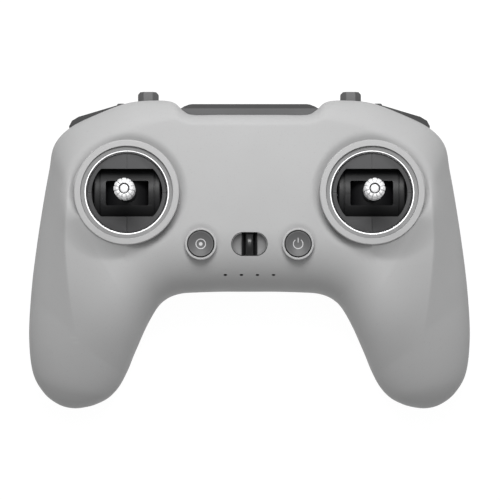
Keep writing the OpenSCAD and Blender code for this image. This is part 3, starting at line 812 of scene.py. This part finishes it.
def make_drum(name, side):
    centre = (side * GIMBAL_X, GIMBAL_Y, PIVOT_Z)
    outline = [(0, -12.2, 0), (DRUM_R, -12.2, 0.6)]
    for x in (-10, 10):
        outline += [(DRUM_R, x - 0.25, 0.05), (DRUM_R - 0.5, x - 0.2, 0.05), (DRUM_R - 0.5, x + 0.2, 0.05),
                    (DRUM_R, x + 0.25, 0.05)]
    outline += [(DRUM_R, 12.2, 0.6), (0, 12.2, 0)]
    barrel = turned(filleted(outline, 4), centre, 160, "x")
    x, y, z = centre
    window = filleted([(-7.85, -4.55, 0.7), (7.85, -4.55, 0.7), (7.85, 4.55, 0.7), (-7.85, 4.55, 0.7)], 6)
    cutters = [
        box_mesh((x - 20, y - 20, z - 30), (x + 20, y + 20, z - 4.5)),
        extruded(window, 0, 20, centre),
        turned([(0, -6.8), (10.4, -6.8), (10.4, 6.8), (0, 6.8)], centre, 96, "y"),
        box_mesh((x - 10.35, y - 6.75, z - 20), (x + 10.35, y + 6.75, z)),
    ]
    mesh = softened(combined(barrel, cutters), 0.16, 2, 45, 0.2)
    start, stop = (-18.9, 15.4) if side > 0 else (-15.4, 18.9)
    pins = filleted([(0, start, 0), (1.5, start, 0.3), (1.5, stop, 0.3), (0, stop, 0)], 3)
    pins = turned(pins, centre, 48, "x")
    piece = finished(f"drum_{name}_barrel", mesh, DRUM, f"drum_{name}", 35)
    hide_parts(f"drum_{name}")
    finished(f"drum_{name}_pins", pins, STEEL, f"drum_{name}", 40)


def make_carriage(name, side):
    centre = (side * GIMBAL_X, GIMBAL_Y, PIVOT_Z)
    x, y, z = centre
    boat = turned(filleted([(0, -6.4, 0), (10, -6.4, 0.4), (10, 6.4, 0.4), (0, 6.4, 0)], 3), centre, 128, "y")
    cutters = [box_mesh((x - 20, y - 20, z - 30), (x + 20, y + 20, z - 3))]
    mesh = combined(boat, cutters)
    piece = finished(f"carriage_{name}_boat", mesh, INNER, f"stick_{name}", 40)
    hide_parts(f"carriage_{name}")
    foot = filleted([(0, 9.6, 0), (3.4, 9.6, 0.2), (3.1, 10.6, 0.3), (2.1, 11.4, 0.3), (2.1, 12.6, 0.2),
                     (0, 12.6, 0)], 4)
    finished(f"carriage_{name}_foot", turned(foot, centre, 64), DRUM, f"stick_{name}", 40)


LOBES = 12


def make_crown(name, side):
    """Knurled crown: scalloped sides, a toothed top, a gap ring and a bright middle."""
    centre = (side * GIMBAL_X, GIMBAL_Y, 0)
    top = STICK_TOP
    profile = filleted([
        (1.55, top - 11, 0), (2.6, top - 11, 0.3), (CROWN_R - 0.15, top - 9.7, 0.3),
        (CROWN_R, top - 9.0, 0.3), (CROWN_R, top - 1.1, 0.4), (CROWN_R - 0.75, top - 0.1, 0.4),
        (1.95, top, 0.2), (1.8, top - 3.2, 0.1), (1.55, top - 3.4, 0)], 5)
    dense = []
    for i, p in enumerate(profile):
        q = profile[(i + 1) % len(profile)]
        steps = max(1, int(np.linalg.norm(np.array(q) - np.array(p)) / 0.35))
        dense += [np.array(p) + (np.array(q) - np.array(p)) * k / steps for k in range(steps)]
    count = LOBES * 16
    points, faces = [], []
    n = len(dense)
    for i in range(count):
        a = 2 * math.pi * i / count
        valley = (0.5 - 0.5 * math.cos(LOBES * a)) ** 9
        for r, z in dense:
            depth = 0.34 * valley * min(1, max(0, (r - 2.2) / 1.2)) * min(1, max(0, (z - top + 9.6) / 0.8))
            ridge = 0.1 * max(0, math.sin((z - top) * 2 * math.pi / 1.1)) * (r > CROWN_R - 0.1)
            notch = 0.4 * valley * min(1, max(0, (r - 2.1) / 0.5)) * (z > top - 0.9)
            rr = r - depth - ridge
            points.append((rr * math.cos(a), rr * math.sin(a), z - notch))
    for i in range(count):
        p, q = i * n, (i + 1) % count * n
        faces += [(p + j, q + j, q + (j + 1) % n, p + (j + 1) % n) for j in range(n)]
    mesh = mesh_of(np.array(points) + np.array(centre), faces)
    piece = finished(f"crown_{name}", mesh, SILVER, f"stick_{name}", 50)
    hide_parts(f"stick_crown_{name}")
    shaft_low = low(f"stick_shaft_{name}")[2]
    shaft = filleted([(0, shaft_low, 0), (1.5, shaft_low, 0.2), (1.5, top - 0.45, 0.35),
                      (0, top - 0.3, 0)], 5)
    piece = finished(f"shaft_{name}", turned(shaft, centre, 64), SILVER, f"stick_{name}", 40)
    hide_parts(f"stick_shaft_{name}")
    nut_low, nut_high = low(f"stick_nut_{name}")[2], high(f"stick_nut_{name}")[2]
    nut = filleted([(1.55, nut_low, 0), (3.1, nut_low, 0.3), (3.1, nut_high, 0.3), (1.55, nut_high, 0)], 4)
    nut = turned(nut, centre, 96)
    grooves = []
    for k in range(12):
        a = k * math.pi / 6
        place = (centre[0] + 3.2 * math.cos(a), centre[1] + 3.2 * math.sin(a), 0)
        grooves.append(cylinder_mesh(0.33, nut_low - 1, nut_high + 1, place, count=20))
    piece = finished(f"nut_{name}", combined(nut, grooves), SILVER, f"stick_{name}", 35)
    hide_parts(f"stick_nut_{name}")


# ---------------------------------------------------------------- face buttons, lanyard bar and lights


def make_collar(name, side):
    centre = (side * BUTTON_X, BUTTON_Y, 0)
    profile = filleted([(4.98, 36.5, 0), (COLLAR_R, 36.5, 0), (COLLAR_R, FACE_Z + 0.45, 0.36),
                        (4.98, FACE_Z + 0.45, 0.3)], 6)
    finished(f"collar_{name}", turned(profile, centre, 128), CASE, "case", 60)


def dish(r):
    """Height of the dished cap at radius r."""
    return FACE_Z - 0.04 + 0.88 * (r / 4.3) ** 2


def make_button(node, side):
    centre = (side * BUTTON_X, BUTTON_Y, 0)
    profile = [(0.0, 34.8), (5.3, 34.8), (5.3, 33.7), (5.2, 33.6), (1.3, 33.6), (1.3, 31.7),
               (1.2, 31.6), (0, 31.6)]
    under = [np.array(p) for p in reversed(profile)]
    wall = filleted([(4.65, 34.8, 0), (4.65, FACE_Z + 0.9, 0.3), (4.3, dish(4.3), 0)], 5)[:-1]
    top = [np.array((r, dish(r))) for r in np.linspace(4.25, 0, 16)]
    mesh = turned(under[:-1] + [np.array((4.65, 34.8))] + wall[1:] + top, centre, 128)
    piece = finished(f"{node}_cap", mesh, BUTTON, node, 50)
    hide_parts(node)


def ribbon(path, width, centre):
    """A thin raised line that follows the dished cap, as printed ink of real thickness."""
    points, faces = [], []
    path = [np.array(p, float) for p in path]
    for i, p in enumerate(path):
        run = path[min(i + 1, len(path) - 1)] - path[max(i - 1, 0)]
        run = run / np.linalg.norm(run)
        square = np.array((-run[1], run[0])) * width / 2
        for q in (p + square, p - square):
            r = float(np.hypot(*q))
            points.append((*q, dish(r) + 0.03))
            points.append((*q, dish(r) - 0.05))
    for i in range(len(path) - 1):
        a, b = 4 * i, 4 * i + 4
        faces += [(a, b, b + 2, a + 2), (a + 1, a + 3, b + 3, b + 1), (a, a + 1, b + 1, b),
                  (a + 2, b + 2, b + 3, a + 3)]
    end = 4 * (len(path) - 1)
    faces += [(0, 2, 3, 1), (end, end + 1, end + 3, end + 2)]
    return mesh_of(np.array(points) + np.array((centre[0], centre[1], 0)), faces)


def arc(radius, start, stop, steps=40):
    angles = np.radians(np.linspace(start, stop, steps + 1))
    return [(radius * math.cos(a), radius * math.sin(a)) for a in angles]


def line(a, b, steps=8):
    return [tuple(np.array(a) + (np.array(b) - np.array(a)) * k / steps) for k in range(steps + 1)]


ICON_R, ICON_LINE = 1.75, 0.3


def make_icons():
    power = [ribbon(arc(ICON_R, 125, 415), ICON_LINE, (BUTTON_X, BUTTON_Y)),
             ribbon(line((0, 0.5), (0, 2.2)), ICON_LINE, (BUTTON_X, BUTTON_Y))]
    finished("power_icon", joined(power), ICON, "power_button", 40)
    custom = [ribbon(arc(ICON_R, 0, 360, 48), ICON_LINE, (-BUTTON_X, BUTTON_Y)),
              ribbon(arc(0.34, 0, 360, 24), 0.66, (-BUTTON_X, BUTTON_Y))]
    finished("custom_icon", joined(custom), ICON, "custom_button", 40)


def make_lanyard():
    """A bowl of case plastic darkened as painted shade, a black slot across it and an arched glossy bar."""
    rings = [(BOWL_R - 0.06, -2.4), (BOWL_R - 0.06, -0.2), (BOWL_R - 0.1, -0.08), (BOWL_R - 0.2, -0.02),
             (BOWL_R - 0.3, -0.1), (BOWL_R - 0.36, -0.3)]
    for k in range(1, 14):
        rho = (BOWL_R - 0.36) * math.cos(math.pi / 2 * k / 13)
        rings.append((max(rho, 0.001), -0.3 - 2.6 * math.sin(math.pi / 2 * k / 13)))
    steps = 32
    outline = pill(1, 0, steps)
    count = len(outline)
    points, faces = [], []
    for rho, z in rings:
        for x, y in pill(BOWL_HALF, rho, steps):
            points.append((x, LANYARD_Y + y, bowl_rim(y) + z))
    top_count = len(points)
    for x, y in pill(BOWL_HALF, rings[0][0] + 0.01, steps):
        points.append((x, LANYARD_Y + y, min(FACE_Z - 4.6, 35.4)))
    for k in range(len(rings) - 1):
        p, q = k * count, (k + 1) * count
        faces += [(p + j, p + (j + 1) % count, q + (j + 1) % count, q + j) for j in range(count)]
    faces.append(tuple((len(rings) - 1) * count + j for j in range(count)))
    faces += [(j, top_count + j, top_count + (j + 1) % count, (j + 1) % count) for j in range(count)]
    faces.append(tuple(top_count + j for j in range(count)))
    bowl = mesh_of(points, faces)
    slot_cut = box_mesh((-SLOT_HALF, LANYARD_Y - 5, 30), (SLOT_HALF, LANYARD_Y + 5, 45))
    bowl = combined(bowl, [slot_cut])
    # The bowl's darker plastic is painted shade for the shading of its concave surface.
    finished("lanyard_bowl", bowl, PAINTED_SHADE_PLASTIC, "case", 50)

    lining = filleted([(-2.85, -4.2, 0.3), (2.85, -4.2, 0.3), (2.85, 4.2, 0.3), (-2.85, 4.2, 0.3)], 4)
    lining = extruded(lining, 32.5, bowl_rim(-4.2) - 0.3, (0, LANYARD_Y, 0))
    hollow = box_mesh((-2.3, LANYARD_Y - 3.9, 33.6), (2.3, LANYARD_Y + 3.9, 45))
    lining = combined(lining, [hollow])
    finished("lanyard_lining", lining, INNER, "case", 45)
    piece = finished("lanyard_bar", arched_bar(), BAR, "case", 45)
    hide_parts("lanyard_bracket")


def bowl_rim(y):
    """Height of the face level with y, beside the lanyard recess."""
    return on_face(BOWL_HALF + BOWL_R + 1.9, LANYARD_Y + y, FACE_Z)[0] - 0.02


def arched_bar(steps=40, sides=24):
    points, faces = [], []
    for i in range(steps + 1):
        t = -1 + 2 * i / steps
        y = 4.45 * t
        lift = BAR_ARCH * (1 - t * t)
        width = 1.35 + 0.35 * t ** 6
        for j in range(sides):
            a = 2 * math.pi * j / sides
            c, s = (math.copysign(abs(v) ** 0.7, v) for v in (math.cos(a), math.sin(a)))
            points.append((width * c, LANYARD_Y + y, FACE_Z - 0.75 - BAR_ARCH + lift + s))
    for i in range(steps):
        for j in range(sides):
            p, q = i * sides + j, i * sides + (j + 1) % sides
            faces.append((p, q, q + sides, p + sides))
    faces.append(tuple(range(sides)))
    faces.append(tuple(steps * sides + j for j in range(sides)))
    return mesh_of(points, faces)


LIGHT_PITCH = 5.91


def make_lights():
    """Four small smoked windows that lie in the rolled lower edge of the face."""
    domes = []
    for k in (-1.5, -0.5, 0.5, 1.5):
        x = k * LIGHT_PITCH
        height, normal = on_face(x, LIGHT_Y, 34.4)
        profile = [(0, -1.2), (0.62, -1.2), (0.62, 0.0), (0.55, 0.05), (0.35, 0.075), (0, 0.085)]
        dome = turned(profile, (0, 0, 0), 32)
        tilt = Vector((0, 0, 1)).rotation_difference(normal).to_matrix().to_4x4()
        dome.transform(Matrix.Translation((x, LIGHT_Y, height)) @ tilt @ Matrix.Diagonal((1.1, 0.75, 1, 1)))
        domes.append(dome)
    guide = softened(node_mesh("light_guide"), 0.1, 2, 40)
    piece = finished("status_lights", joined(domes), LIGHT, "case", 40)
    finished("light_bar", guide, LIGHT, "case", 40)
    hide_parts("light_guide")


# ---------------------------------------------------------------- top edge


def make_top_panel():
    """The CAD panel with the lever lugs and dial arms cut flush with its lower chamfer."""
    side = [(39, -2), (40, -0.03), (48.2, 4.07), (48.2, -2)]
    points = [(x, y, z) for x in (-64, 64) for y, z in side]
    faces = [(0, 3, 2, 1), (4, 5, 6, 7), (0, 1, 5, 4), (1, 2, 6, 5), (2, 3, 7, 6), (3, 0, 4, 7)]
    mesh = combined(softened(node_mesh("top_panel"), 0.4, 3, 30), [mesh_of(points, faces)])
    piece = finished("top_panel_skin", mesh, PANEL, "case", 35)
    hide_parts("top_panel")


def make_lever(node):
    x = middle(node)[0]
    top = high(node)[1]
    pivot = middle("lever_pin_right")
    half = (high(node) - low(node))[0] / 2
    outline = filleted([(-half, pivot[1] + 8.3, 0.5), (half, pivot[1] + 8.3, 0.5), (half, top - 0.9, 0.3),
                        (half - 0.9, top, 0.3), (0.9 - half, top, 0.3), (-half, top - 0.9, 0.3)], 4)
    cap = extruded(outline, -2.5, 2.5, (x, 0, pivot[2]))
    slopes = []
    for side in (-1, 1):
        wedge = box_mesh((0, -30, 0), (8, 30, 8))
        wedge.transform(Matrix.Translation((x + side * 1.75, top, pivot[2] + 2.5))
                        @ Matrix.Rotation(math.radians(38 if side > 0 else 180 - 38), 4, "Y")
                        @ Matrix.Translation((0, 0, 0 if side > 0 else -8)))
        slopes.append(wedge)
    cap = combined(cap, slopes)
    arm = box_mesh((x - 2.8, pivot[1] + 0.5, pivot[2] - 1.4), (x + 2.8, pivot[1] + 9, pivot[2] + 1.4))
    hub = turned(filleted([(1.05, -3.7, 0), (2.6, -3.7, 0.2), (2.6, 3.7, 0.2), (1.05, 3.7, 0)], 3),
                 (x, pivot[1], pivot[2]), 64, "x")
    bore = cylinder_mesh(1.05, -9, 9, (x, pivot[1], pivot[2]), "x", 64)
    mesh = combined(combined(softened(cap, 0.22, 3, 25), [arm, hub], "UNION"), [bore])
    piece = finished(f"{node}_cap", mesh, LEVER, node, 35)
    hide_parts(node)


def refined(node, width, material, angle=35, sharp=35):
    """A CAD node's own shape with its hard edges rounded off."""
    body = body_of(NODES[node])
    body = body[0] if isinstance(body, (list, tuple)) else body
    body = str(body).replace("body:", "")
    piece = finished(f"{node}_fine", softened(node_mesh(node), width, 2, angle), material, body, sharp)
    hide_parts(node)


def make_small_controls():
    for node in ("pause_button", "record_button", "shutter_button"):
        refined(node, 0.35, BUTTON)
    refined("camera_dial", 0.12, LEVER)
    refined("usb_port", 0.08, STEEL)


def dress_inner_nodes():
    looks = {
        "gimbal_frame": INNER, "gimbal_sensor": BOARD, "gimbal_spring": STEEL, "lever_pin": STEEL,
        "shoulder_board": BOARD, "antenna": GOLD, "button_switches": STEEL, "main_board": BOARD,
        "buzzer": INNER,
        "usb_board": BOARD, "battery_cell": SLEEVE, "battery_cradle": INNER, "case_screws": STEEL,
        "gimbal_screws": STEEL, "board_screws": STEEL, "dial_axle": STEEL}
    for node, piece in NODES.items():
        for start, material in looks.items():
            if node.startswith(start):
                piece.data.materials.clear()
                piece.data.materials.append(material)


# ---------------------------------------------------------------- build


def add_stage():
    mesh = box_mesh((-1500, -1500, -4), (1500, 1500, 0))
    mesh.transform(Matrix.Scale(MM, 4))
    floor = bpy.data.objects.new("floor", mesh)
    look = Look("floor_paper")
    tone = look.blend(look.noise(6, 2), (0.04, 0.04, 0.04), (0.05, 0.05, 0.05))
    look.join(tone, look.shader.inputs["Base Color"])
    look.join(look.between(look.noise(400), 0.7, 0.8), look.shader.inputs["Roughness"])
    look.shader.inputs["Emission Color"].default_value = (1, 1, 1, 1)
    look.shader.inputs["Emission Strength"].default_value = 0.96
    mesh.materials.append(look.material)
    scene.collection.objects.link(floor)


add_camera()
add_world()
add_area_light("key", (0.0, 0.2, 0.335), (0, 0, 0.03), (0.22, 0.12), 1.35)
add_stage()
for name, side in SIDES.items():
    make_bezel(name, side)
    make_plate(name, side)
    make_drum(name, side)
    make_carriage(name, side)
    make_crown(name, side)
    make_collar(name, side)
make_button("custom_button", -1)
make_button("power_button", 1)
make_icons()
make_lanyard()
make_lights()
make_top_panel()
make_lever("mode_lever")
make_lever("function_lever")
make_small_controls()
dress_inner_nodes()
